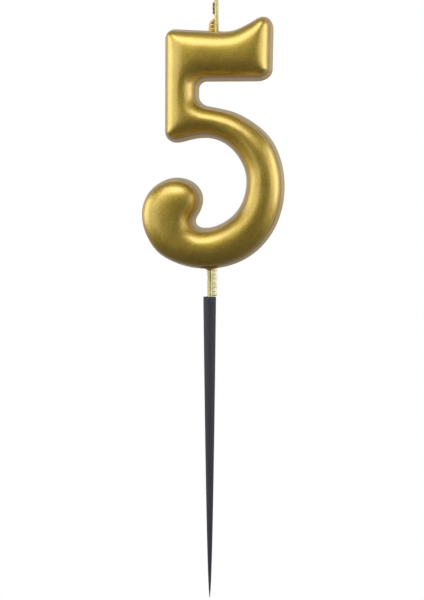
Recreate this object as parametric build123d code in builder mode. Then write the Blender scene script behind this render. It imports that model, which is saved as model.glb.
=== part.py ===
"""Number birthday candle: a gold digit 5 of wax, its wick, and the dark pick that holds it in a cake.

Frame, in millimetres: the pick's tip is the origin, +Z runs up the pick's axis, +X points to the reader's
right as the digit is read, and the digit's front faces -Y. Every piece is one solid with its own file.
"""
from build123d import *
from itertools import pairwise
from math import cos, pi, radians, sin, sqrt, tan
import os

os.makedirs("parts", exist_ok=True)

# ---- driving dimensions -------------------------------------------------------------------------
# the pick
pick_length = 85.1
pick_head_radius = 1.79
pick_rim_round = 0.3
pick_point_radius = 0.12
pick_taper = 0.53
pick_stations = 8
# the digit, measured from its own foot, which is the lowest point of the bowl
digit_foot = 93.0
digit_back = 3.25
wall_depth = 6.5
wall_draft = 8.0
wall_slices = 3
crease_step = 0.15
dome_height = 5.0
dome_reach = 5.6
dome_fill = 0.9
dome_slices = 8
skin = 0.25
# the wick, which leaves the digit at the top bar and again under the bowl
core_radius = 0.2
braid_radius = 0.5
upper_coat_radius = 0.68
tail_coat_radius = 0.72
upper_wick_x = 1.8
upper_wick_top = digit_foot + 74.7
upper_coat_top = upper_wick_top - 0.4
# the tail's fit in the pick
socket_clearance = 0.05
socket_depth = 12.5
tail_gap = 0.1
# the ragged fins that the mould leaves along both ends of the wick
flash_thickness = 0.4
flash_rim_gap = 0.35

# the small flare of lacquered wax where the tail leaves the bowl
root_radius = 2.7
root_bury = 0.6
root_drop = 1.3

tail_bottom = pick_length - socket_depth + tail_gap
back_plane = Plane(origin=(0, digit_back, digit_foot), x_dir=(1, 0, 0), z_dir=(0, -1, 0))
wick_plane = Plane(origin=(0, 0, digit_foot), x_dir=(1, 0, 0), z_dir=(0, -1, 0))


# ---- the digit's outline ------------------------------------------------------------------------
def heading(angle):
    """The direction at an angle in degrees, counted anticlockwise from the reader's right."""
    return Vector(cos(radians(angle)), sin(radians(angle)))


def tangent_pair(start, start_direction, end, end_direction):
    """Two arcs that leave start and reach end in the given directions, and share a tangent between."""
    chord = end - start
    along = chord.dot(start_direction + end_direction)
    spread = 2 * (1 - start_direction.dot(end_direction))
    reach = (sqrt(along**2 + spread * chord.dot(chord)) - along) / spread
    joint = (start + start_direction * reach + end - end_direction * reach) / 2
    first = TangentArc(start, joint, tangent=start_direction)
    TangentArc(joint, end, tangent=first % 1)


def curve_between(edge_before, stations, edge_after):
    """A smooth curve from one straight edge to the next, through (x, z, heading) stations."""
    knots = [(edge_before @ 1, edge_before % 1)]
    knots += [(Vector(x, z), heading(angle)) for x, z, angle in stations]
    knots += [(edge_after @ 0, edge_after % 0)]
    for (start, start_direction), (end, end_direction) in pairwise(knots):
        tangent_pair(start, start_direction, end, end_direction)


top_flick = [(12.8, 69.6, 32), (14.7, 70.2, 0)]
bowl_outside = [(-0.5, 45.4, -10), (9.2, 42.6, -28), (18.6, 33.6, -65), (20.9, 22.8, -90), (14.2, 5.8, -135),
                (6.2, 0.9, -162), (-1.0, -0.3, 180)]
hook = [(-8.5, 0.9, 162), (-16.5, 6.2, 125), (-19.5, 15.1, 90), (-15.2, 23.5, 35), (-9.4, 25.5, 0),
        (-2.6, 21.8, -62), (-3.3, 15.1, -122)]
bowl_inside = [(-4.0, 13.2, -90), (-1.6, 11.4, 0), (5.5, 14.2, 39), (10.0, 24.3, 90), (6.8, 32.4, 130),
               (-1.4, 36.4, 180)]
stem_foot = [(-7.0, 35.5, -164), (-9.6, 35.1, 180)]

with BuildSketch() as digit:
    with BuildLine():
        stem_edge = Line((-12.9, 38.3), (-12.8, 64.0))
        top_edge = Line((-9.8, 66.9), (3.5, 66.2))
        bar_end = Line((17.7, 66.5), (17.5, 55.6))
        bar_underside = Line((13.2, 52.1), (-1.0, 52.1))
        counter_wall = Line((-3.1, 50.0), (-3.1, 48.2))
        curve_between(stem_edge, [], top_edge)
        curve_between(top_edge, top_flick, bar_end)
        curve_between(bar_end, [], bar_underside)
        curve_between(bar_underside, [], counter_wall)
        curve_between(counter_wall, bowl_outside + hook + bowl_inside + stem_foot, stem_edge)
    make_face()


# ---- the digit's body ---------------------------------------------------------------------------
def body_slices():
    """The body's section as (inset, height) steps: a drafted wall, a crease, then a quarter ellipse."""
    slices = []
    for step in range(wall_slices):
        middle = wall_depth * (step + 0.5) / wall_slices
        slices.append((middle * tan(radians(wall_draft)), wall_depth * (step + 1) / wall_slices))
    crease_inset = wall_depth * tan(radians(wall_draft)) + crease_step
    for step in range(dome_slices):
        middle = (step + 0.5) / dome_slices * dome_fill
        inset = dome_reach * (1 - sqrt(1 - middle**2))
        slices.append((crease_inset + inset, wall_depth + dome_height * dome_fill * (step + 1) / dome_slices))
    return slices


def pillow(shrink):
    """The digit's body, built up in slices from its flat back, all of it smaller by shrink."""
    with BuildPart() as body:
        floor = shrink
        for inset, top in body_slices():
            with BuildSketch(back_plane.offset(floor)):
                add(digit.sketch)
                offset(amount=-(inset + shrink), kind=Kind.ARC)
            extrude(amount=top - shrink - floor)
            floor = top - shrink
    return body.part


def wick_route():
    """The wick's line: down into the bar, round the stem and the bowl, and out below as the tail."""
    return FilletPolyline(
        (upper_wick_x, upper_wick_top - digit_foot), (upper_wick_x, 59.0), (-7.8, 59.0), (-7.8, 41.0),
        (2.5, 40.9), (11.0, 36.0), (15.6, 26.5), (14.6, 15.0), (8.0, 7.5), (0, 4.5),
        (0, tail_bottom - digit_foot),
        radius=(3.5, 3.5, 3.5, 8.0, 12.0, 12.0, 12.0, 8.0, 1.8),
    )


def wick_rod(radius):
    """A round rod of this radius along the whole route of the wick."""
    with BuildPart() as rod:
        with BuildLine(wick_plane):
            route = wick_route()
        with BuildSketch(Plane(origin=route @ 0, z_dir=route % 0)):
            Circle(radius)
        sweep(path=route)
    print(f"wick rod of radius {radius}: volume {rod.part.volume:.3f}, "
          f"section times length {pi * radius**2 * route.length:.3f}")
    return rod.part


outer_body = pillow(0)
inner_body = pillow(skin)
wick_space = wick_rod(braid_radius)

with BuildPart() as wax_numeral:
    add(inner_body)
    add(wick_space, mode=Mode.SUBTRACT)


# ---- the wick -----------------------------------------------------------------------------------
with BuildPart() as wick_core:
    add(wick_rod(core_radius))

with BuildPart() as wick_braid:
    add(wick_space)
    add(wick_core.part, mode=Mode.SUBTRACT)

with BuildPart() as upper_wick_coat:
    with BuildSketch(Plane.XY.offset(digit_foot + 60)):
        with Locations((upper_wick_x, 0)):
            Circle(upper_coat_radius)
            Circle(braid_radius, mode=Mode.SUBTRACT)
    extrude(amount=upper_coat_top - digit_foot - 60)
    add(outer_body, mode=Mode.SUBTRACT)

with BuildPart() as tail_coat:
    with BuildSketch(Plane.XY.offset(tail_bottom)):
        Circle(tail_coat_radius)
        Circle(braid_radius, mode=Mode.SUBTRACT)
    extrude(amount=digit_foot + 2 - tail_bottom)
    add(outer_body, mode=Mode.SUBTRACT)

# ---- the lacquer over the wax -------------------------------------------------------------------
with BuildPart() as tail_root:
    with BuildSketch(wick_plane):
        with BuildLine():
            Line((0, root_bury), (root_radius, root_bury))
            Line((root_radius, root_bury), (root_radius, 0))
            flare = Spline((root_radius, 0), (1.2, -0.6), (tail_coat_radius, -root_drop))
            Line(flare @ 1, (0, -root_drop))
            Line((0, -root_drop), (0, root_bury))
        make_face()
    revolve(axis=Axis.Z)

with BuildPart() as gold_skin:
    add(outer_body)
    add(tail_root.part)
    add(inner_body, mode=Mode.SUBTRACT)
    add(wick_space, mode=Mode.SUBTRACT)
    add(tail_coat.part, mode=Mode.SUBTRACT)

# ---- the mould's flash --------------------------------------------------------------------------
upper_flash_edge = [
    (-0.15, 66.0), (-0.2, 67.4), (0.15, 68.7), (0.7, 69.3), (0.98, 69.8), (0.98, 70.4), (0.6, 71.1),
    (0.78, 71.8), (0.5, 72.5), (0.75, 73.1), (0.52, 73.8), (1.0, 74.2),
]
with BuildPart() as upper_wick_flash:
    with BuildSketch(wick_plane):
        with BuildLine():
            Spline(*upper_flash_edge)
            Polyline(upper_flash_edge[-1], (1.3, 74.2), (1.3, 66.0), upper_flash_edge[0])
        make_face()
    extrude(amount=flash_thickness / 2, both=True)
    for neighbour in (outer_body, upper_wick_coat.part, wick_space):
        add(neighbour, mode=Mode.SUBTRACT)

flash_foot = pick_length + flash_rim_gap - digit_foot
tail_flash_edge = [
    (2.2, -0.2), (1.85, -1.2), (2.05, -2.3), (1.8, -3.3), (2.0, -4.4), (1.92, -5.4), (1.72, -6.0),
    (2.0, -6.5), (1.85, flash_foot),
]
with BuildPart() as tail_flash:
    with BuildSketch(wick_plane):
        with BuildLine():
            Spline(*tail_flash_edge)
            Polyline(tail_flash_edge[-1], (0.6, flash_foot), (0.6, -0.2), tail_flash_edge[0])
        make_face()
    extrude(amount=flash_thickness / 2, both=True)
    for neighbour in (outer_body, tail_root.part, tail_coat.part, wick_space):
        add(neighbour, mode=Mode.SUBTRACT)

# ---- the pick -----------------------------------------------------------------------------------
def pick_side():
    """Points down the side of the pick, whose radius grows as a power of the height above its point."""
    points = [(pick_point_radius, 0)]
    for station in range(1, pick_stations + 1):
        share = (station / pick_stations) ** 2
        points.append((pick_head_radius * share**pick_taper, pick_length * share))
    return points


with BuildPart() as pick:
    with BuildSketch(Plane.XZ):
        with BuildLine():
            side = Spline(*pick_side())
            Line(side @ 1, (0, pick_length))
            Line((0, pick_length), (0, 0))
            Line((0, 0), side @ 0)
        make_face()
    revolve(axis=Axis.Z)
    fillet(pick.faces().sort_by(Axis.Z)[-1].edges(), radius=pick_rim_round)
    with BuildSketch(Plane.XY.offset(pick_length)):
        Circle(tail_coat_radius + socket_clearance)
    extrude(amount=-socket_depth, mode=Mode.SUBTRACT)

# ---- write the files ----------------------------------------------------------------------------
pieces = {
    "wax_numeral": wax_numeral,
    "gold_skin": gold_skin,
    "wick_core": wick_core,
    "wick_braid": wick_braid,
    "upper_wick_coat": upper_wick_coat,
    "upper_wick_flash": upper_wick_flash,
    "tail_coat": tail_coat,
    "tail_flash": tail_flash,
    "pick": pick,
}
for name, piece in pieces.items():
    piece.part.label = name
    export_step(piece.part, f"parts/{name}.step")
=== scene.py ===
# %% [markdown]
# # A number candle on a pick
#
# This script dresses a CAD model of a birthday candle: a gold wax digit five, its waxed wick, and the dark
# pick that stands it in a cake. The CAD model is the frame. It fixes where everything is and how big it is,
# and each new surface below is laid over the CAD piece that it stands for.
#
# The frame is in metres. The tip of the pick is the origin, +Z runs up the pick and -Y faces the reader.

# %% Load the frame
import math

import bpy
import numpy as np
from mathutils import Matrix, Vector
from mathutils.geometry import delaunay_2d_cdt


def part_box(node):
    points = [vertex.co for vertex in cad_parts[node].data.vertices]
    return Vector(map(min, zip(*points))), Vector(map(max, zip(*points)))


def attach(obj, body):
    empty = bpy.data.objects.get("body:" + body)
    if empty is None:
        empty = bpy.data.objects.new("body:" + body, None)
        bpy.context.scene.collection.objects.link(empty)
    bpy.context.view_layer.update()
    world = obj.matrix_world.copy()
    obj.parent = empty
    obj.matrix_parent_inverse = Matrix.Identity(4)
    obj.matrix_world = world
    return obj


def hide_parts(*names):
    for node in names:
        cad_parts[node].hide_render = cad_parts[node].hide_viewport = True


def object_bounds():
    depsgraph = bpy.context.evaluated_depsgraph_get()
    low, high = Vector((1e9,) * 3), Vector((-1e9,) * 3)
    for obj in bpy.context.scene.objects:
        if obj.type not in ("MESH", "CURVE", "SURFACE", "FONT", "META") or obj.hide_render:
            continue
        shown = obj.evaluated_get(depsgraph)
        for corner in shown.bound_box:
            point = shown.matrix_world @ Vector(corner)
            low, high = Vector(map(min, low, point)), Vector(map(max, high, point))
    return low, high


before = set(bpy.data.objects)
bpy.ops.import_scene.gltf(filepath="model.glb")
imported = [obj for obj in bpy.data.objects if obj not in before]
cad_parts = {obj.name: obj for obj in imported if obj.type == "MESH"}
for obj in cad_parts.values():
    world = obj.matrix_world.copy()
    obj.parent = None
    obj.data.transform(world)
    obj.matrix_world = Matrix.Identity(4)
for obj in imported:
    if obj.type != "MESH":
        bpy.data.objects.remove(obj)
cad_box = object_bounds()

MM = 0.001

# %% [markdown]
# ## The outline of the digit
#
# The real digit is cast in a mould that was drawn with smooth curves and a few straight edges. A list of
# stations, each a place and the heading of the curve there, says all of that in a few numbers. Between two
# stations run two circular arcs that share a tangent, so the curves have no kinks. The same stations shape
# the CAD model.

# %% Stations of the outline, in millimetres above the digit's foot
ROOT_DROP = 1.3
DIGIT_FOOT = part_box("gold_skin")[0].z / MM + ROOT_DROP
STRAIGHTS = {
    "stem": ((-12.9, 38.3), (-12.8, 64.0)),
    "top": ((-9.8, 66.9), (3.5, 66.2)),
    "bar_end": ((17.7, 66.5), (17.5, 55.6)),
    "underside": ((13.2, 52.1), (-1.0, 52.1)),
    "counter": ((-3.1, 50.0), (-3.1, 48.2)),
}
TOP_FLICK = [(12.8, 69.6, 32), (14.7, 70.2, 0)]
BOWL_OUTSIDE = [(-0.5, 45.4, -10), (9.2, 42.6, -28), (18.6, 33.6, -65), (20.9, 22.8, -90), (14.2, 5.8, -135),
                (6.2, 0.9, -162), (-1.0, -0.3, 180)]
HOOK = [(-8.5, 0.9, 162), (-16.5, 6.2, 125), (-19.5, 15.1, 90), (-15.2, 23.5, 35), (-9.4, 25.5, 0),
        (-2.6, 21.8, -62), (-3.3, 15.1, -122)]
BOWL_INSIDE = [(-4.0, 13.2, -90), (-1.6, 11.4, 0), (5.5, 14.2, 39), (10.0, 24.3, 90), (6.8, 32.4, 130),
               (-1.4, 36.4, 180)]
STEM_FOOT = [(-7.0, 35.5, -164), (-9.6, 35.1, 180)]
CURVES = {
    "stem": [],
    "top": TOP_FLICK,
    "bar_end": [],
    "underside": [],
    "counter": BOWL_OUTSIDE + HOOK + BOWL_INSIDE + STEM_FOOT,
}
SAMPLE_STEP = 0.2
print("digit foot at", round(DIGIT_FOOT, 3), "mm")


# %% Arcs and straight edges as arrays of points
def direction(degrees):
    """The unit vector at an angle counted anticlockwise from +X."""
    return np.array([math.cos(math.radians(degrees)), math.sin(math.radians(degrees))])


def arc_points(start, leaving, end):
    """Points and headings on the arc that leaves start along leaving and reaches end.

    The arc turns by twice the angle between its first heading and its chord, and it turns evenly.
    """
    chord = end - start
    length = np.hypot(*chord)
    cross = leaving[0] * chord[1] - leaving[1] * chord[0]
    half_turn = math.atan2(cross, leaving @ chord)
    count = max(3, int(math.ceil(length / SAMPLE_STEP)), int(math.ceil(abs(half_turn) / 0.03)))
    turn = 2 * half_turn * np.arange(count) / count
    angle = math.atan2(leaving[1], leaving[0]) + turn
    radius = length / (2 * math.sin(half_turn))
    centre = start + radius * np.array([-leaving[1], leaving[0]])
    points = centre + radius * np.stack([np.sin(angle), -np.cos(angle)], axis=1)
    last = math.atan2(leaving[1], leaving[0]) + 2 * half_turn
    headings = np.stack([np.cos(angle), np.sin(angle)], axis=1)
    return points, headings, np.array([math.cos(last), math.sin(last)])


def two_arcs(start, leaving, end, arriving):
    """Two arcs with a shared tangent, from one station to the next."""
    chord = end - start
    along = chord @ (leaving + arriving)
    spread = 2 * (1 - leaving @ arriving)
    reach = (math.sqrt(along**2 + spread * (chord @ chord)) - along) / spread
    joint = (start + leaving * reach + end - arriving * reach) / 2
    first, first_headings, middle = arc_points(start, leaving, joint)
    second, second_headings, _ = arc_points(joint, middle, end)
    return np.vstack([first, second]), np.vstack([first_headings, second_headings])


def digit_outline():
    """The closed outline as points and headings, clockwise as it is read."""
    points, headings = [], []
    names = list(STRAIGHTS)
    for name, next_name in zip(names, names[1:] + names[:1]):
        start, end = (np.array(p, float) for p in STRAIGHTS[name])
        onward, after = (np.array(p, float) for p in STRAIGHTS[next_name])
        along = (end - start) / np.hypot(*(end - start))
        steps = max(2, int(np.hypot(*(end - start)) / SAMPLE_STEP))
        points.append(start + np.arange(steps)[:, None] / steps * (end - start))
        headings.append(np.tile(along, (steps, 1)))
        knots = [(end, along)]
        knots += [(np.array([x, z]), direction(angle)) for x, z, angle in CURVES[name]]
        knots += [(onward, (after - onward) / np.hypot(*(after - onward)))]
        for (p, heading), (q, next_heading) in zip(knots, knots[1:]):
            arc, arc_headings = two_arcs(p, heading, q, next_heading)
            points.append(arc)
            headings.append(arc_headings)
    return np.vstack(points), np.vstack(headings)


outline, outline_heading = digit_outline()
inward = np.stack([outline_heading[:, 1], -outline_heading[:, 0]], axis=1)
print("outline points", len(outline), "size", np.ptp(outline, axis=0).round(2))

# %% [markdown]
# ## The gold digit
#
# The candle was cast in one piece: a flat back, a side wall with a little draft so that it leaves the mould,
# a fine step, and then a front that swells like a cushion. The wall and the first millimetre of the cushion
# are a section carried round the outline. The rest of the cushion is a height over the plane of the digit.
#
# How high should the cushion be at each point? A plain distance to the edge makes a hard ridge where two
# sides meet. Summing one over the fourth power of the distance, round the whole edge, and turning that sum
# back into a length gives a soft distance. It equals the real one at the edge, and it levels out in the
# middle of a stroke. A quarter ellipse over that soft distance is the cushion.

# %% Section of the digit
BACK_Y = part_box("gold_skin")[1].y / MM
WALL_DEPTH = 6.5
WALL_DRAFT = math.tan(math.radians(8.0))
BACK_ROUND = 0.6
LIP_ROUND = 0.03
LEDGE = 0.08
CREASE_INSET = WALL_DEPTH * WALL_DRAFT + LIP_ROUND + LEDGE
DOME_HEIGHT = 4.7
DOME_REACH = 6.2
STRIP = 0.9
STRIP_ROWS = 10
FILL_STEP = 0.28
BACK_FILL_STEP = 1.6
BACK_FILL_MARGIN = 0.9
WAX_INSET = 0.3
WAX_FILL_STEP = 0.8
PROBE_IN = 0.6
BLOCK = 4000


def squared_gaps(points, edge):
    """The square of the distance from every point to every vertex of an edge, as a table."""
    return (points[:, None, 0] - edge[None, :, 0]) ** 2 + (points[:, None, 1] - edge[None, :, 1]) ** 2


def soft_distance(points, edge):
    """How far points lie inside a closed edge, softened: the cube root of pi / (2 * sum of ds / r^4)."""
    ahead, behind = np.roll(edge, -1, axis=0), np.roll(edge, 1, axis=0)
    weight = np.hypot(*(ahead - behind).T) / 2
    total = np.empty(len(points))
    for part in range(0, len(points), BLOCK):
        total[part:part + BLOCK] = (weight / squared_gaps(points[part:part + BLOCK], edge) ** 2).sum(axis=1)
    return np.cbrt(math.pi / 2 / total)


def dome_rise(soft):
    """Height of the cushion over its crease: a quarter ellipse of the soft distance."""
    return DOME_HEIGHT * np.sqrt(1 - (1 - np.clip(soft / DOME_REACH, 0, 1)) ** 2)


def hand_waver(x, z):
    """The slight unevenness of cast and dipped wax, in millimetres: a few long sine waves crossed."""
    return (
        0.022 * np.sin(0.61 * x + 0.33 * z + 0.7)
        + 0.018 * np.sin(-0.38 * x + 0.71 * z + 2.1)
        + 0.010 * np.sin(1.27 * x - 0.82 * z + 4.0)
    )


def mesh_piece(name, vertices, faces, smooth=True):
    """A new object from vertices in millimetres and a list of faces."""
    mesh = bpy.data.meshes.new(name)
    mesh.from_pydata((np.asarray(vertices) * MM).tolist(), [], faces)
    mesh.validate()
    mesh.polygons.foreach_set("use_smooth", np.full(len(mesh.polygons), smooth))
    mesh.update()
    piece = bpy.data.objects.new(name, mesh)
    bpy.context.scene.collection.objects.link(piece)
    return piece


def ring_faces(rows, columns, first=0):
    """Quads between stacked closed rings of vertices."""
    row, column = np.meshgrid(np.arange(rows - 1), np.arange(columns), indexing="ij")
    nxt = (column + 1) % columns
    quads = np.stack([row * columns + column, (row + 1) * columns + column,
                      (row + 1) * columns + nxt, row * columns + nxt], axis=-1)
    return (quads.reshape(-1, 4) + first).tolist()


def capped_tube(rings, low, high):
    """Vertices and faces of a tube of stacked rings, closed to one point at each end.

    Each ring runs anticlockwise from above and the first ones climb the outside, so the faces point outwards.
    """
    rows, columns = rings.shape[:2]
    vertices = np.concatenate([rings.reshape(-1, 3), [low, high]])
    column = np.arange(columns)
    nxt = (column + 1) % columns
    last = (rows - 1) * columns
    faces = [face[::-1] for face in ring_faces(rows, columns)]
    faces += np.stack([np.full(columns, rows * columns), nxt, column], axis=1).tolist()
    faces += np.stack([np.full(columns, rows * columns + 1), last + column, last + nxt], axis=1).tolist()
    return vertices, faces


def inside(points, loop):
    """Which points a closed loop holds: those with an odd number of its edges to their right."""
    ahead = np.roll(loop, -1, axis=0)
    held = np.zeros(len(points), bool)
    for part in range(0, len(points), BLOCK):
        x, z = points[part:part + BLOCK, 0, None], points[part:part + BLOCK, 1, None]
        spans = (loop[:, 1] > z) != (ahead[:, 1] > z)
        rise = np.where(ahead[:, 1] == loop[:, 1], 1.0, ahead[:, 1] - loop[:, 1])
        cut = loop[:, 0] + (z - loop[:, 1]) / rise * (ahead[:, 0] - loop[:, 0])
        held[part:part + BLOCK] = (spans & (x < cut)).sum(axis=1) % 2 == 1
    return held


def fill(loop, step, margin):
    """Points on a triangular lattice inside a loop, and the triangles that join them to the loop."""
    low, high = loop.min(axis=0), loop.max(axis=0)
    rows = int((high[1] - low[1]) / (step * 0.866)) + 1
    columns = int((high[0] - low[0]) / step) + 1
    row, column = np.meshgrid(np.arange(rows), np.arange(columns), indexing="ij")
    lattice = np.stack([low[0] + (column + 0.5 * (row % 2)) * step, low[1] + row * step * 0.866], axis=-1)
    lattice = lattice.reshape(-1, 2)
    lattice = lattice[inside(lattice, loop)]
    clear = np.ones(len(lattice), bool)
    for part in range(0, len(lattice), BLOCK):
        clear[part:part + BLOCK] = squared_gaps(lattice[part:part + BLOCK], loop).min(axis=1) > margin**2
    points = np.vstack([loop, lattice[clear]])
    edges = [(i, (i + 1) % len(loop)) for i in range(len(loop))]
    _, _, triangles, *_ = delaunay_2d_cdt([Vector(p) for p in points.tolist()], edges, [], 1, 1e-7)
    return points, np.array(triangles)


def digit_shell(shrink, fill_step):
    """Vertices and faces of the whole digit, with every surface moved in by shrink millimetres."""
    edge = outline + inward * (CREASE_INSET + shrink)
    back_angle = np.radians(np.linspace(0, 90, 7))
    back_inset = BACK_ROUND * (1 - np.sin(back_angle)) + BACK_ROUND * (1 - np.cos(back_angle)) * WALL_DRAFT
    back_depth = BACK_ROUND * (1 - np.cos(back_angle))
    wall_depth = np.linspace(BACK_ROUND, WALL_DEPTH - LIP_ROUND, 8)[1:]
    lip_angle = np.radians(np.linspace(0, 90, 5))[1:]
    lip_inset = (WALL_DEPTH - LIP_ROUND) * WALL_DRAFT + LIP_ROUND * (1 - np.cos(lip_angle))
    lip_depth = WALL_DEPTH - LIP_ROUND + LIP_ROUND * np.sin(lip_angle)
    inset = np.concatenate([back_inset, wall_depth * WALL_DRAFT, lip_inset, [CREASE_INSET]]) + shrink
    depth = np.concatenate([back_depth, wall_depth, lip_depth, [WALL_DEPTH]])
    depth = shrink + depth * (WALL_DEPTH - 2 * shrink) / WALL_DEPTH
    wall = outline[None] + inward[None] * inset[:, None, None]
    wall_y = BACK_Y - np.repeat(depth[:, None], len(outline), axis=1)

    # the first stretch of the cushion: near the edge the soft distance is d + c d^2, with c read further in
    reach = STRIP - shrink
    probe = PROBE_IN - shrink
    bend = (soft_distance(edge + inward * probe, edge) / probe - 1) / probe
    strip_in = reach * (np.arange(1, STRIP_ROWS + 1) / STRIP_ROWS) ** 1.7
    strip = edge[None] + inward[None] * strip_in[:, None, None]
    blend = np.clip(2 * strip_in / reach - 1, 0, 1)[:, None]
    near = strip_in[:, None] * (1 + bend[None] * strip_in[:, None])
    far = soft_distance(strip.reshape(-1, 2), edge).reshape(near.shape)
    strip_soft = near * (1 - blend) + far * blend

    loop = strip[-1]
    inner, triangles = fill(loop, fill_step, 0.6 * fill_step)
    inner_soft = np.concatenate([strip_soft[-1], soft_distance(inner[len(loop):], edge)])

    def front_y(points, soft):
        rise = dome_rise(soft)
        return BACK_Y - (WALL_DEPTH - shrink + rise) - hand_waver(*points.T) * rise / DOME_HEIGHT

    rings = np.concatenate([wall, strip], axis=0)
    ring_y = np.concatenate(
        [wall_y, np.stack([front_y(p, s) for p, s in zip(strip, strip_soft)])], axis=0)
    lattice = inner[len(loop):]
    back_loop = wall[0]
    back, back_triangles = fill(back_loop, BACK_FILL_STEP, BACK_FILL_MARGIN)
    back_lattice = back[len(back_loop):]

    count = len(outline)
    rows = len(rings)
    flat = np.concatenate([rings.reshape(-1, 2), lattice, back_lattice])
    y = np.concatenate([ring_y.reshape(-1), front_y(lattice, inner_soft[len(loop):]),
                        np.full(len(back_lattice), BACK_Y - shrink)])
    vertices = np.stack([flat[:, 0], y, flat[:, 1] + DIGIT_FOOT], axis=1)
    last_ring = (rows - 1) * count
    front_index = np.where(triangles < count, triangles + last_ring, triangles - count + rows * count)
    back_index = np.where(back_triangles < count, back_triangles,
                          back_triangles - count + rows * count + len(lattice))
    faces = ring_faces(rows, count)
    faces += front_index.tolist() + back_index[:, ::-1].tolist()
    return vertices, faces


def lathe(profile, segments, x=0.0):
    """Rings of vertices and faces for a profile of (radius, height) turned about a vertical line at x.

    A point of the profile at angle a stands at (x + r cos a, r sin a, z). Its two ends are on the line.
    """
    turn = 2 * np.pi * np.arange(segments) / segments
    radius, height = np.asarray(profile, float).T
    rings = np.stack([
        x + radius[1:-1, None] * np.cos(turn),
        radius[1:-1, None] * np.sin(turn),
        np.repeat(height[1:-1, None], segments, axis=1),
    ], axis=-1)
    return capped_tube(rings, [x, 0, height[0]], [x, 0, height[-1]])


def joined(name, *shells):
    """One object from several closed shells of vertices and faces."""
    vertices, faces = [], []
    for shell_vertices, shell_faces in shells:
        first = sum(len(v) for v in vertices)
        vertices.append(shell_vertices)
        faces += [[index + first for index in face] for face in shell_faces]
    return mesh_piece(name, np.concatenate(vertices), faces)


# %% The root where the tail leaves the bowl, and both bodies
ROOT_RADIUS = 2.7
ROOT_BURY = 1.6
ROOT_TIP = 0.45
fall = np.linspace(0, 1, 14)
root_side = np.stack([ROOT_TIP + (ROOT_RADIUS - ROOT_TIP) * (1 - fall) ** 3.5,
                      DIGIT_FOOT + 0.25 - (ROOT_DROP + 0.25) * fall], axis=1)
root_profile = np.concatenate([[[0, DIGIT_FOOT + ROOT_BURY], [ROOT_RADIUS, DIGIT_FOOT + ROOT_BURY]],
                               root_side, [[0, DIGIT_FOOT - ROOT_DROP]]])[::-1]
gold_digit = joined("gold_digit", digit_shell(0.0, FILL_STEP), lathe(root_profile, 40))
wax_body = joined("wax_body", digit_shell(WAX_INSET, WAX_FILL_STEP))
print("gold digit faces", len(gold_digit.data.polygons), "wax faces", len(wax_body.data.polygons))

# %% [markdown]
# ## The wick above the bar
#
# The wick is a cotton braid that was dipped with the candle, so it wears the same gold over a skin of wax. It
# is not quite round: the braid shows through as slow lumps, and the mould left a ragged fin along its left
# side. A strand is a tube whose radius varies with height and angle. A fin is a flat lobe, an ellipse at each
# height, whose outer edge wanders along a short list of places. A lump of wax sits at its root.

# %% Strands and fins
WICK_X = 1.8
WICK_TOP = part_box("wick_braid")[1].z / MM
COAT_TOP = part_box("upper_wick_coat")[1].z / MM
BAR_TOP = DIGIT_FOOT + 66.3
FLAT = 0.80
FACE_TURN = math.radians(-24)


def strand(x, low, high, radius, lumps, tip_round, seed):
    """A lumpy upright rod, rounded at its ends and pressed a little flat by the two halves of the mould.

    r(z, a) = radius * oval(a) * (1 + lumps * sum of waves in z and a), where oval is one over the cube root
    of |cos|^3 + |sin / flat|^3, with its wide faces turned towards the front left and the back right.
    """
    rng = np.random.default_rng(seed)
    rows, segments = max(24, int((high - low) / 0.09)), 36
    z = np.linspace(low, high, rows)[:, None]
    turn = (2 * np.pi * np.arange(segments) / segments)[None]
    waves = sum(
        rng.uniform(0.5, 1.0) * np.sin(count * turn + pitch * z + rng.uniform(0, 6.28))
        for count, pitch in ((1, 1.9), (2, 3.4), (3, -5.1), (1, 7.7))
    )
    end = np.clip(np.minimum(z - low, high - z) / tip_round, 0, 1)
    oval = (np.abs(np.cos(turn - FACE_TURN)) ** 3 + np.abs(np.sin(turn - FACE_TURN) / FLAT) ** 3) ** (-1 / 3)
    r = radius * oval * (1 + lumps * waves) * (0.55 + 0.45 * np.sqrt(1 - (1 - end) ** 2))
    rings = np.stack([x + r * np.cos(turn), r * np.sin(turn), z + 0 * turn], axis=-1)
    return capped_tube(rings, [x, 0, low], [x, 0, high])


def fin(edge, root_x, thickness, turn_degrees, pivot_x):
    """A ragged fin from root_x out to a wandering edge of (x, z) places, as thick as thickness.

    At each height the section is an ellipse from root_x to the edge, turned about pivot_x by the angle.
    """
    edge = np.asarray(edge, float)
    order = edge[np.argsort(edge[:, 1])]
    z = np.linspace(order[0, 1], order[-1, 1], max(12, int(np.ptp(order[:, 1]) / 0.07)))
    outer = np.interp(z, order[:, 1], order[:, 0])
    outer = np.convolve(np.pad(outer, 2, mode="edge"), [0.1, 0.2, 0.4, 0.2, 0.1], mode="valid")
    end = np.clip(np.minimum(z - z[0], z[-1] - z) / 0.35, 0.02, 1)
    close = np.sqrt(1 - (1 - end) ** 2)
    middle, half = (outer + root_x) / 2, np.abs(outer - root_x) / 2 * (0.5 + 0.5 * close)
    depth = thickness / 2 * close * (1 + 0.10 * np.sin(5.3 * z) + 0.06 * np.sin(11.9 * z + 1))
    segments = 20
    angle = 2 * np.pi * np.arange(segments) / segments
    x = middle[:, None] + half[:, None] * np.cos(angle) - pivot_x
    y = depth[:, None] * np.sin(angle)
    c, s = math.cos(math.radians(turn_degrees)), math.sin(math.radians(turn_degrees))
    rings = np.stack([pivot_x + x * c - y * s, x * s + y * c, z[:, None] + 0 * x], axis=-1)
    return capped_tube(rings, rings[0].mean(axis=0), rings[-1].mean(axis=0))


def from_foot(places):
    """Places given above the digit's foot, as heights above the pick's tip."""
    return [(x, z + DIGIT_FOOT) for x, z in places]


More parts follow.
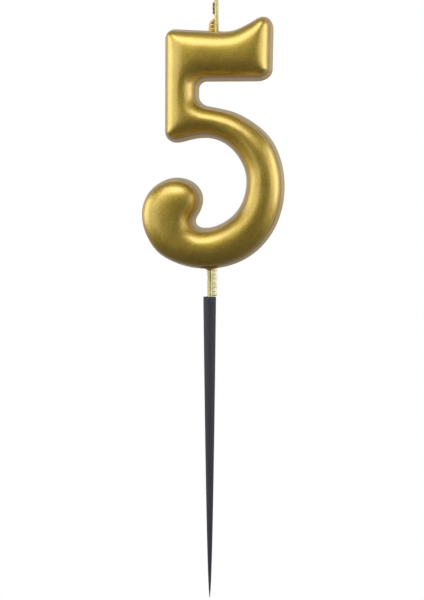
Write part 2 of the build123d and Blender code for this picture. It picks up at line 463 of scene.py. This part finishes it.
wick_strand = joined("wick_strand", strand(WICK_X, BAR_TOP - 1.5, COAT_TOP, 0.66, 0.018, 0.3, 5))
wick_fin = joined(
    "wick_fin",
    fin(from_foot([(0.95, 70.5), (0.68, 71.0), (0.85, 71.5), (0.65, 72.3), (0.85, 72.7), (0.68, 73.2),
                   (0.9, 74.0)]), 1.6, 0.45, 24, WICK_X),
)
wick_drip = joined("wick_drip", fin(
    from_foot([(-0.2, 65.6), (-0.3, 66.6), (-0.2, 67.6), (0.0, 68.3), (0.5, 68.9), (1.0, 69.4)]),
    1.6, 1.1, 6, WICK_X))
print("wick above the bar", round(COAT_TOP - BAR_TOP, 2), "mm, faces", len(wick_strand.data.polygons))

# %% [markdown]
# ## The tail, and the cut end of the wick
#
# Under the bowl the same waxed wick comes out again as the tail that is pushed into the pick. Its fin is on
# the right and thinner; it turns towards the light, and its gold is also painted paler, a painted highlight.
# At the top the scissors leave a bare end, where a few cotton fibres stand out of the wax.

# %% Tail and cut end
PICK_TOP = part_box("pick")[1].z / MM
TAIL_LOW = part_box("tail_coat")[0].z / MM
tail_strand = joined("tail_strand", strand(0.0, TAIL_LOW, DIGIT_FOOT + 0.8, 0.72, 0.012, 0.5, 11))
tail_fin = joined("tail_fin", fin(
    [(2.50, PICK_TOP + 0.12), (2.6, PICK_TOP + 1.2), (2.35, PICK_TOP + 1.8), (2.5, PICK_TOP + 2.6),
     (2.6, PICK_TOP + 3.6), (2.4, PICK_TOP + 4.5), (2.7, PICK_TOP + 5.6), (2.45, PICK_TOP + 6.7),
     (2.8, PICK_TOP + 8.2)], 0.5, 0.35, 40, 0.0))


def fibre(root, lean, length, radius):
    """A thin tapering fibre: a tube of six sides on the parabola root + t (up + lean t)."""
    t = np.linspace(0, 1, 7)[:, None]
    line = root + length * (t * np.array([0, 0, 1.0]) + t**2 * np.array([*lean, -0.2]))
    angle = 2 * np.pi * np.arange(6) / 6
    ring = np.stack([np.cos(angle), np.sin(angle), 0 * angle], axis=1)
    rings = line[:, None] + ring[None] * (radius * (1 - 0.7 * t))[:, :, None]
    return capped_tube(rings, line[0], line[-1])


FIBRE_COUNT = 22
FIBRE_SPREAD = 0.42
FIBRE_RADIUS = 0.045
GOLDEN_TURN = 2.4
rng = np.random.default_rng(3)
fibres = []
for spot in range(FIBRE_COUNT):
    away, reach = spot * GOLDEN_TURN, FIBRE_SPREAD * math.sqrt((spot + 0.5) / FIBRE_COUNT)
    foot = np.array([WICK_X + reach * math.cos(away), reach * math.sin(away), WICK_TOP - 0.25])
    fibres.append(fibre(foot, rng.uniform(-0.25, 0.25, 2) + 0.4 * (foot[:2] - [WICK_X, 0]),
                        rng.uniform(0.3, 0.5), FIBRE_RADIUS))
cut_fibres = joined("cut_fibres", *fibres)
print("tail faces", len(tail_strand.data.polygons), "fibres", len(fibres))

# %% [markdown]
# ## The pick
#
# The pick is a moulded plastic spike that tapers to a blunt point, with a blind hole in its head for the
# tail. It is a lathe: one profile, from the point up the side, over the rounded rim and down the hole.

# %% Pick
POINT_RADIUS = 0.12
HEAD_RADIUS = 1.79
TAPER = 0.53
RIM_ROUND = 0.3
BORE_RADIUS = 0.77
BORE_DEPTH = 12.5
share = np.linspace(0, 1, 110) ** 2
climb = share * (PICK_TOP - RIM_ROUND)
pick_side = np.stack([np.maximum(POINT_RADIUS, HEAD_RADIUS * (climb / PICK_TOP) ** TAPER), climb], axis=1)
corner = np.radians(np.linspace(0, 90, 9))[1:]
rim = np.stack([pick_side[-1, 0] - RIM_ROUND * (1 - np.cos(corner)),
                PICK_TOP - RIM_ROUND + RIM_ROUND * np.sin(corner)], axis=1)
bore_edge = [
    [BORE_RADIUS + 0.08, PICK_TOP],
    [BORE_RADIUS + 0.02, PICK_TOP - 0.03],
    [BORE_RADIUS, PICK_TOP - 0.1],
]
bore = [[BORE_RADIUS, PICK_TOP - BORE_DEPTH + 0.02], [BORE_RADIUS - 0.02, PICK_TOP - BORE_DEPTH]]
pick_profile = np.concatenate([[[0, 0]], pick_side, rim, bore_edge, bore, [[0, PICK_TOP - BORE_DEPTH]]])
dark_pick = joined("dark_pick", lathe(pick_profile, 64))
print("pick rings", len(pick_profile), "faces", len(dark_pick.data.polygons))

# %% [markdown]
# ## Finishes
#
# The gold is a lacquer full of fine metal flake, sprayed over the wax: a metal whose roughness and colour
# waver a little, with a thin clear layer on top that takes the whiter part of the highlights. The grain is a
# small bump, because flakes lie at slightly different angles.

# %% Material helpers
WHITE = (1.0, 1.0, 1.0)


def new_material(name):
    """An empty node material with its shader and output, and the object's own coordinates in millimetres."""
    material = bpy.data.materials.new(name)
    material.use_nodes = True
    tree = material.node_tree
    shader = tree.nodes["Principled BSDF"]
    coordinates = tree.nodes.new("ShaderNodeTexCoord")
    scale = tree.nodes.new("ShaderNodeMapping")
    scale.inputs["Scale"].default_value = (1 / MM, 1 / MM, 1 / MM)
    tree.links.new(coordinates.outputs["Object"], scale.inputs["Vector"])
    return material, tree, shader, scale.outputs["Vector"]


def noise(tree, place, scale, detail=2.0, roughness=0.5):
    """A noise node over the given coordinates, and its grey output."""
    node = tree.nodes.new("ShaderNodeTexNoise")
    node.inputs["Scale"].default_value = scale
    node.inputs["Detail"].default_value = detail
    node.inputs["Roughness"].default_value = roughness
    tree.links.new(place, node.inputs["Vector"])
    return node.outputs["Fac"]


def ramp(tree, value, low, high, dark, light):
    """A colour that runs from dark to light as the value runs from low to high."""
    node = tree.nodes.new("ShaderNodeValToRGB")
    node.color_ramp.elements[0].position = low
    node.color_ramp.elements[1].position = high
    node.color_ramp.elements[0].color = (*dark, 1)
    node.color_ramp.elements[1].color = (*light, 1)
    tree.links.new(value, node.inputs["Fac"])
    return node.outputs["Color"]


def spread(tree, value, low, high):
    """The value's middle half stretched to run from low to high."""
    node = tree.nodes.new("ShaderNodeMapRange")
    node.inputs["From Min"].default_value = 0.3
    node.inputs["From Max"].default_value = 0.7
    node.inputs["To Min"].default_value = low
    node.inputs["To Max"].default_value = high
    tree.links.new(value, node.inputs["Value"])
    return node.outputs["Result"]


def bump(tree, value, strength, height, under=None):
    """A bump of the given height in metres, over another bump where there is one."""
    node = tree.nodes.new("ShaderNodeBump")
    node.inputs["Strength"].default_value = strength
    node.inputs["Distance"].default_value = height
    tree.links.new(value, node.inputs["Height"])
    if under is not None:
        tree.links.new(under, node.inputs["Normal"])
    return node.outputs["Normal"]


def cover(piece, material):
    """Gives a piece one material all over."""
    piece.data.materials.clear()
    piece.data.materials.append(material)


# %% Gold lacquer
CREASE_Y = BACK_Y - WALL_DEPTH
# Painted shade and painted reflection: the gold wall just behind the crease is tinted brown, where the real
# candle is shaded and mirrors the gold dome.
CREASE_SHADE_BROWN = (0.74, 0.54, 0.30)
CREASE_SHADE_STOPS = ((-0.7, WHITE), (-0.1, CREASE_SHADE_BROWN), (1.0, CREASE_SHADE_BROWN), (2.6, WHITE))


def painted_crease_shade(tree, place, colour):
    """The colour with painted shade: browner in a band in depth, by millimetres behind the crease."""
    first, last = CREASE_SHADE_STOPS[0][0], CREASE_SHADE_STOPS[-1][0]
    axes, band = tree.nodes.new("ShaderNodeSeparateXYZ"), tree.nodes.new("ShaderNodeMapRange")
    tree.links.new(place, axes.inputs["Vector"])
    tree.links.new(axes.outputs["Y"], band.inputs["Value"])
    band.inputs["From Min"].default_value = CREASE_Y + first
    band.inputs["From Max"].default_value = CREASE_Y + last
    tint = tree.nodes.new("ShaderNodeValToRGB")
    tint.color_ramp.elements.remove(tint.color_ramp.elements[1])
    for number, (behind, stop_colour) in enumerate(CREASE_SHADE_STOPS):
        spot = (behind - first) / (last - first)
        stop = tint.color_ramp.elements[0] if number == 0 else tint.color_ramp.elements.new(spot)
        stop.position = spot
        stop.color = (*stop_colour, 1)
    tree.links.new(band.outputs["Result"], tint.inputs["Fac"])
    mix = tree.nodes.new("ShaderNodeMix")
    mix.data_type = "RGBA"
    mix.blend_type = "MULTIPLY"
    mix.inputs["Factor"].default_value = 1.0
    tree.links.new(colour, mix.inputs["A"])
    tree.links.new(tint.outputs["Color"], mix.inputs["B"])
    return mix.outputs["Result"]


def gold_lacquer(name, dark, light, low_rough, high_rough, grain, coat, metal=1.0):
    """Metal-flake lacquer: two golds mixed by slow noise, uneven roughness, flake grain, a clear coat and
    painted crease shade.
    """
    material, tree, shader, place = new_material(name)
    slow = noise(tree, place, 0.22, 2.0)
    flake = noise(tree, place, 2.6, 4.0, 0.7)
    speckle = tree.nodes.new("ShaderNodeMix")
    speckle.data_type = "RGBA"
    speckle.blend_type = "MULTIPLY"
    speckle.inputs["Factor"].default_value = 1.0
    tree.links.new(ramp(tree, slow, 0.3, 0.7, dark, light), speckle.inputs["A"])
    tree.links.new(ramp(tree, flake, 0.3, 0.7, (0.62, 0.61, 0.54), WHITE), speckle.inputs["B"])
    tree.links.new(painted_crease_shade(tree, place, speckle.outputs["Result"]), shader.inputs["Base Color"])
    tree.links.new(spread(tree, flake, low_rough, high_rough), shader.inputs["Roughness"])
    shader.inputs["Metallic"].default_value = metal
    shader.inputs["Coat Weight"].default_value = coat
    shader.inputs["Coat Roughness"].default_value = 0.30
    shader.inputs["Coat IOR"].default_value = 1.9
    ripple = bump(tree, noise(tree, place, 0.5, 3.0), 0.35, 0.00012)
    tree.links.new(bump(tree, flake, grain, 0.00003, ripple), shader.inputs["Normal"])
    return material


digit_gold = gold_lacquer("digit_gold", (0.74, 0.51, 0.045), (0.81, 0.58, 0.060), 0.42, 0.54, 0.9, 0.9)
wick_gold = gold_lacquer("wick_gold", (1.0, 0.84, 0.32), (1.0, 0.92, 0.44), 0.44, 0.54, 0.4, 0.6, 0.6)
# Painted highlight: a paler copy of the gold for the tail fin, which is brighter because it faces the light.
thin_gold_painted_highlight = gold_lacquer("thin_gold_painted_highlight", (0.95, 0.86, 0.50), (1.0, 0.94, 0.66), 0.46, 0.58, 0.3, 0.6, 0.8)
# Painted shade: a darker copy of the gold for the upper wick fin, which is the same lacquer lying in shadow.
painted_shade_gold = gold_lacquer("painted_shade_gold", (0.30, 0.235, 0.06), (0.42, 0.33, 0.09), 0.45, 0.6, 0.5, 0.3)
FINISHES = {
    gold_digit: digit_gold,
    wick_fin: painted_shade_gold,
    wick_drip: digit_gold,
    wick_strand: wick_gold,
    tail_strand: wick_gold,
    tail_fin: thin_gold_painted_highlight,
}
for piece, finish in FINISHES.items():
    cover(piece, finish)
print("gold on", gold_digit.name, "and five wick pieces")

# %% [markdown]
# Wax and cotton are almost hidden, but a cut candle would show them. Wax lets light in, so it has some
# subsurface scattering. Cotton is matt and its twist shows as slanted stripes. The pick is a charcoal plastic
# with the dull, even grain of a spark-eroded mould.

# %% Wax, cotton and plastic
def candle_wax():
    """Cream wax: slightly mottled, waxy rather than glossy, and a little translucent."""
    material, tree, shader, place = new_material("candle_wax")
    mottle = noise(tree, place, 0.6, 3.0)
    tree.links.new(ramp(tree, mottle, 0.3, 0.7, (0.78, 0.70, 0.52), (0.86, 0.79, 0.62)),
                   shader.inputs["Base Color"])
    tree.links.new(spread(tree, mottle, 0.4, 0.55), shader.inputs["Roughness"])
    shader.inputs["Subsurface Weight"].default_value = 0.3
    shader.inputs["Subsurface Scale"].default_value = 0.002
    tree.links.new(bump(tree, mottle, 0.4, 0.0001), shader.inputs["Normal"])
    return material


def wick_cotton():
    """Off-white cotton: slanted yarn stripes from a wave over height and a little of each side direction."""
    material, tree, shader, place = new_material("wick_cotton")
    wave = tree.nodes.new("ShaderNodeTexWave")
    wave.inputs["Scale"].default_value = 1.1
    wave.inputs["Distortion"].default_value = 1.5
    wave.bands_direction = "DIAGONAL"
    tree.links.new(place, wave.inputs["Vector"])
    tree.links.new(ramp(tree, wave.outputs["Fac"], 0.2, 0.8, (0.62, 0.52, 0.30), (0.86, 0.78, 0.58)),
                   shader.inputs["Base Color"])
    shader.inputs["Roughness"].default_value = 0.85
    shader.inputs["Sheen Weight"].default_value = 0.3
    tree.links.new(bump(tree, wave.outputs["Fac"], 0.6, 0.0001), shader.inputs["Normal"])
    return material


def charcoal_plastic():
    """Charcoal plastic: a fine even grain, faint cloudiness, and slow streaks along the flow of the melt."""
    material, tree, shader, place = new_material("charcoal_plastic")
    stretch = tree.nodes.new("ShaderNodeMapping")
    stretch.inputs["Scale"].default_value = (1.0, 1.0, 0.06)
    tree.links.new(place, stretch.inputs["Vector"])
    streak = noise(tree, stretch.outputs["Vector"], 1.2, 3.0)
    grain = noise(tree, place, 6.0, 2.0)
    tree.links.new(ramp(tree, streak, 0.3, 0.7, (0.062, 0.064, 0.080), (0.073, 0.075, 0.094)),
                   shader.inputs["Base Color"])
    tree.links.new(spread(tree, grain, 0.55, 0.68), shader.inputs["Roughness"])
    shader.inputs["Specular IOR Level"].default_value = 0.22
    tree.links.new(bump(tree, grain, 0.35, 0.00003), shader.inputs["Normal"])
    return material


cotton = wick_cotton()
cover(wax_body, candle_wax())
cover(cut_fibres, cotton)
cover(dark_pick, charcoal_plastic())
for node in ("wick_braid", "wick_core"):
    cover(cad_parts[node], cotton)
print("materials", sorted(m.name for m in bpy.data.materials))

# %% [markdown]
# ## What each piece stands for
#
# Every new piece rides on the body of the CAD node that it covers. The digit, wax and wick are one body, the
# candle, which pulls up out of the pick. The braid and its core stay as the CAD made them.

# %% Riding and replacing
PIECES = {
    gold_digit: ("candle", "gold_lacquer", ["gold_skin"]),
    wax_body: ("candle", "wax", ["wax_numeral"]),
    wick_strand: ("candle", "gold_wick_wax", ["upper_wick_coat"]),
    wick_fin: ("candle", "gold_wick_wax", ["upper_wick_flash"]),
    wick_drip: ("candle", "gold_wick_wax", []),
    tail_strand: ("candle", "gold_wick_wax", ["tail_coat"]),
    tail_fin: ("candle", "gold_wick_wax", ["tail_flash"]),
    cut_fibres: ("candle", "wick_cotton", []),
    dark_pick: ("pick", "dark_plastic", ["pick"]),
}
for piece, (body, slot, nodes) in PIECES.items():
    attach(piece, body)
    if nodes:
        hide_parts(*nodes)
print("pieces", len(PIECES))

# %% [markdown]
# ## Studio
#
# The candle is shown as in a catalogue: on white, with a wide soft light over it, one on each side, and two
# weaker ones between the sides and the front. The middle of each stroke stays deep and its shoulders shine.
# The world and the floor are pure white only to the camera. To the lacquer they ease from dim in front to
# brighter behind, and the floor's glow is a little warm.

# %% World and floor
def ray_switch(tree, seen, unseen):
    """A mix that gives the camera the first shader and every other ray the second."""
    path = tree.nodes.new("ShaderNodeLightPath")
    mix = tree.nodes.new("ShaderNodeMixShader")
    tree.links.new(path.outputs["Is Camera Ray"], mix.inputs[0])
    tree.links.new(unseen, mix.inputs[1])
    tree.links.new(seen, mix.inputs[2])
    return mix.outputs["Shader"]


def grade(tree, value, start, stop, low, high):
    """A strength that eases from low to high as the value goes from start to stop."""
    node = tree.nodes.new("ShaderNodeMapRange")
    node.interpolation_type = "SMOOTHSTEP"
    for name, setting in zip(("From Min", "From Max", "To Min", "To Max"), (start, stop, low, high)):
        node.inputs[name].default_value = setting
    tree.links.new(value, node.inputs["Value"])
    return node.outputs["Result"]


FRONT_GLOW = 0.16
BACK_GLOW = 0.68
FLOOR_FRONT_GLOW = 0.14
FLOOR_BACK_GLOW = 0.5
FLOOR_WARMTH = (1.0, 0.92, 0.80)
FLOOR_RADIUS = 3.0
FLOOR_SIDES = 48
world = bpy.data.worlds.new("studio")
world.use_nodes = True
bpy.context.scene.world = world
tree = world.node_tree
tree.nodes.clear()
output = tree.nodes.new("ShaderNodeOutputWorld")
bright = tree.nodes.new("ShaderNodeBackground")
bright.inputs["Color"].default_value = (*WHITE, 1)
room = tree.nodes.new("ShaderNodeBackground")
direction_in = tree.nodes.new("ShaderNodeTexCoord")
split = tree.nodes.new("ShaderNodeSeparateXYZ")
tree.links.new(direction_in.outputs["Generated"], split.inputs["Vector"])
room_glow = grade(tree, split.outputs["Y"], 0.2, 0.95, FRONT_GLOW, BACK_GLOW)
tree.links.new(room_glow, room.inputs["Strength"])
tree.links.new(ray_switch(tree, bright.outputs["Background"], room.outputs["Background"]),
               output.inputs["Surface"])

floor_mesh = bpy.data.meshes.new("floor")
bearing = 2 * np.pi * np.arange(FLOOR_SIDES) / FLOOR_SIDES
ring = FLOOR_RADIUS * np.stack([np.cos(bearing), np.sin(bearing), 0 * bearing], axis=1)
floor_mesh.from_pydata(ring.tolist(), [], [list(range(FLOOR_SIDES))])
floor = bpy.data.objects.new("floor", floor_mesh)
bpy.context.scene.collection.objects.link(floor)
pale = bpy.data.materials.new("pale_floor")
pale.use_nodes = True
tree = pale.node_tree
lit, dim = tree.nodes.new("ShaderNodeEmission"), tree.nodes.new("ShaderNodeEmission")
lit.inputs["Color"].default_value = (*WHITE, 1)
dim.inputs["Color"].default_value = (*FLOOR_WARMTH, 1)
where, axes = tree.nodes.new("ShaderNodeTexCoord"), tree.nodes.new("ShaderNodeSeparateXYZ")
tree.links.new(where.outputs["Object"], axes.inputs["Vector"])
floor_glow = grade(tree, axes.outputs["Y"], 0.0, 0.4, FLOOR_FRONT_GLOW, FLOOR_BACK_GLOW)
tree.links.new(floor_glow, dim.inputs["Strength"])
tree.links.new(ray_switch(tree, lit.outputs["Emission"], dim.outputs["Emission"]),
               tree.nodes["Material Output"].inputs["Surface"])
floor_mesh.materials.append(pale)


# %% Lights and camera
def softbox(name, place, aim, width, height, watts):
    """A rectangular area light at a place, turned towards its aim."""
    data = bpy.data.lights.new(name, "AREA")
    data.shape = "RECTANGLE"
    data.size, data.size_y = width, height
    data.energy = watts
    lamp = bpy.data.objects.new(name, data)
    lamp.location = place
    lamp.rotation_euler = (Vector(aim) - Vector(place)).to_track_quat("-Z", "Y").to_euler()
    bpy.context.scene.collection.objects.link(lamp)
    return lamp


CENTRE = Vector((0, 0, (cad_box[0].z + cad_box[1].z) / 2))
DIGIT_CENTRE = (0, 0, (DIGIT_FOOT + 35) * MM)
softbox("top_box", (-0.04, -0.30, 0.54), DIGIT_CENTRE, 0.60, 0.32, 1.8)
softbox("left_box", (-0.47, 0.0, 0.16), DIGIT_CENTRE, 0.36, 0.45, 1.15)
softbox("front_left_box", (-0.34, -0.36, 0.20), DIGIT_CENTRE, 0.34, 0.40, 0.48)
softbox("right_box", (0.48, 0.06, 0.16), DIGIT_CENTRE, 0.30, 0.45, 1.12)
softbox("front_right_box", (0.44, -0.22, 0.16), DIGIT_CENTRE, 0.16, 0.40, 0.30)

CAMERA_DISTANCE = 0.50
CAMERA_AZIMUTH = 5.0
CAMERA_RISE = 0.028
AIM_SHIFT = (0.00065, 0, 0.0003)
SENSOR_WIDTH = 36.0
FRAME_MARGIN = 1.0024
FRAME_HEIGHT = FRAME_MARGIN * (cad_box[1].z - cad_box[0].z)
camera_data = bpy.data.cameras.new("camera")
camera = bpy.data.objects.new("camera", camera_data)
bpy.context.scene.collection.objects.link(camera)
bpy.context.scene.camera = camera
turn = math.radians(CAMERA_AZIMUTH)
aim = CENTRE + Vector(AIM_SHIFT)
stand = (CAMERA_DISTANCE * math.sin(turn), -CAMERA_DISTANCE * math.cos(turn), CAMERA_RISE)
camera.location = aim + Vector(stand)
camera.rotation_euler = (aim - camera.location).to_track_quat("-Z", "Y").to_euler()
camera_data.sensor_width = SENSOR_WIDTH
camera_data.lens = SENSOR_WIDTH * (camera.location - aim).length / FRAME_HEIGHT
camera_data.clip_start = 0.01
bpy.context.scene.view_settings.view_transform = "Standard"
print("lens", round(camera_data.lens, 1))
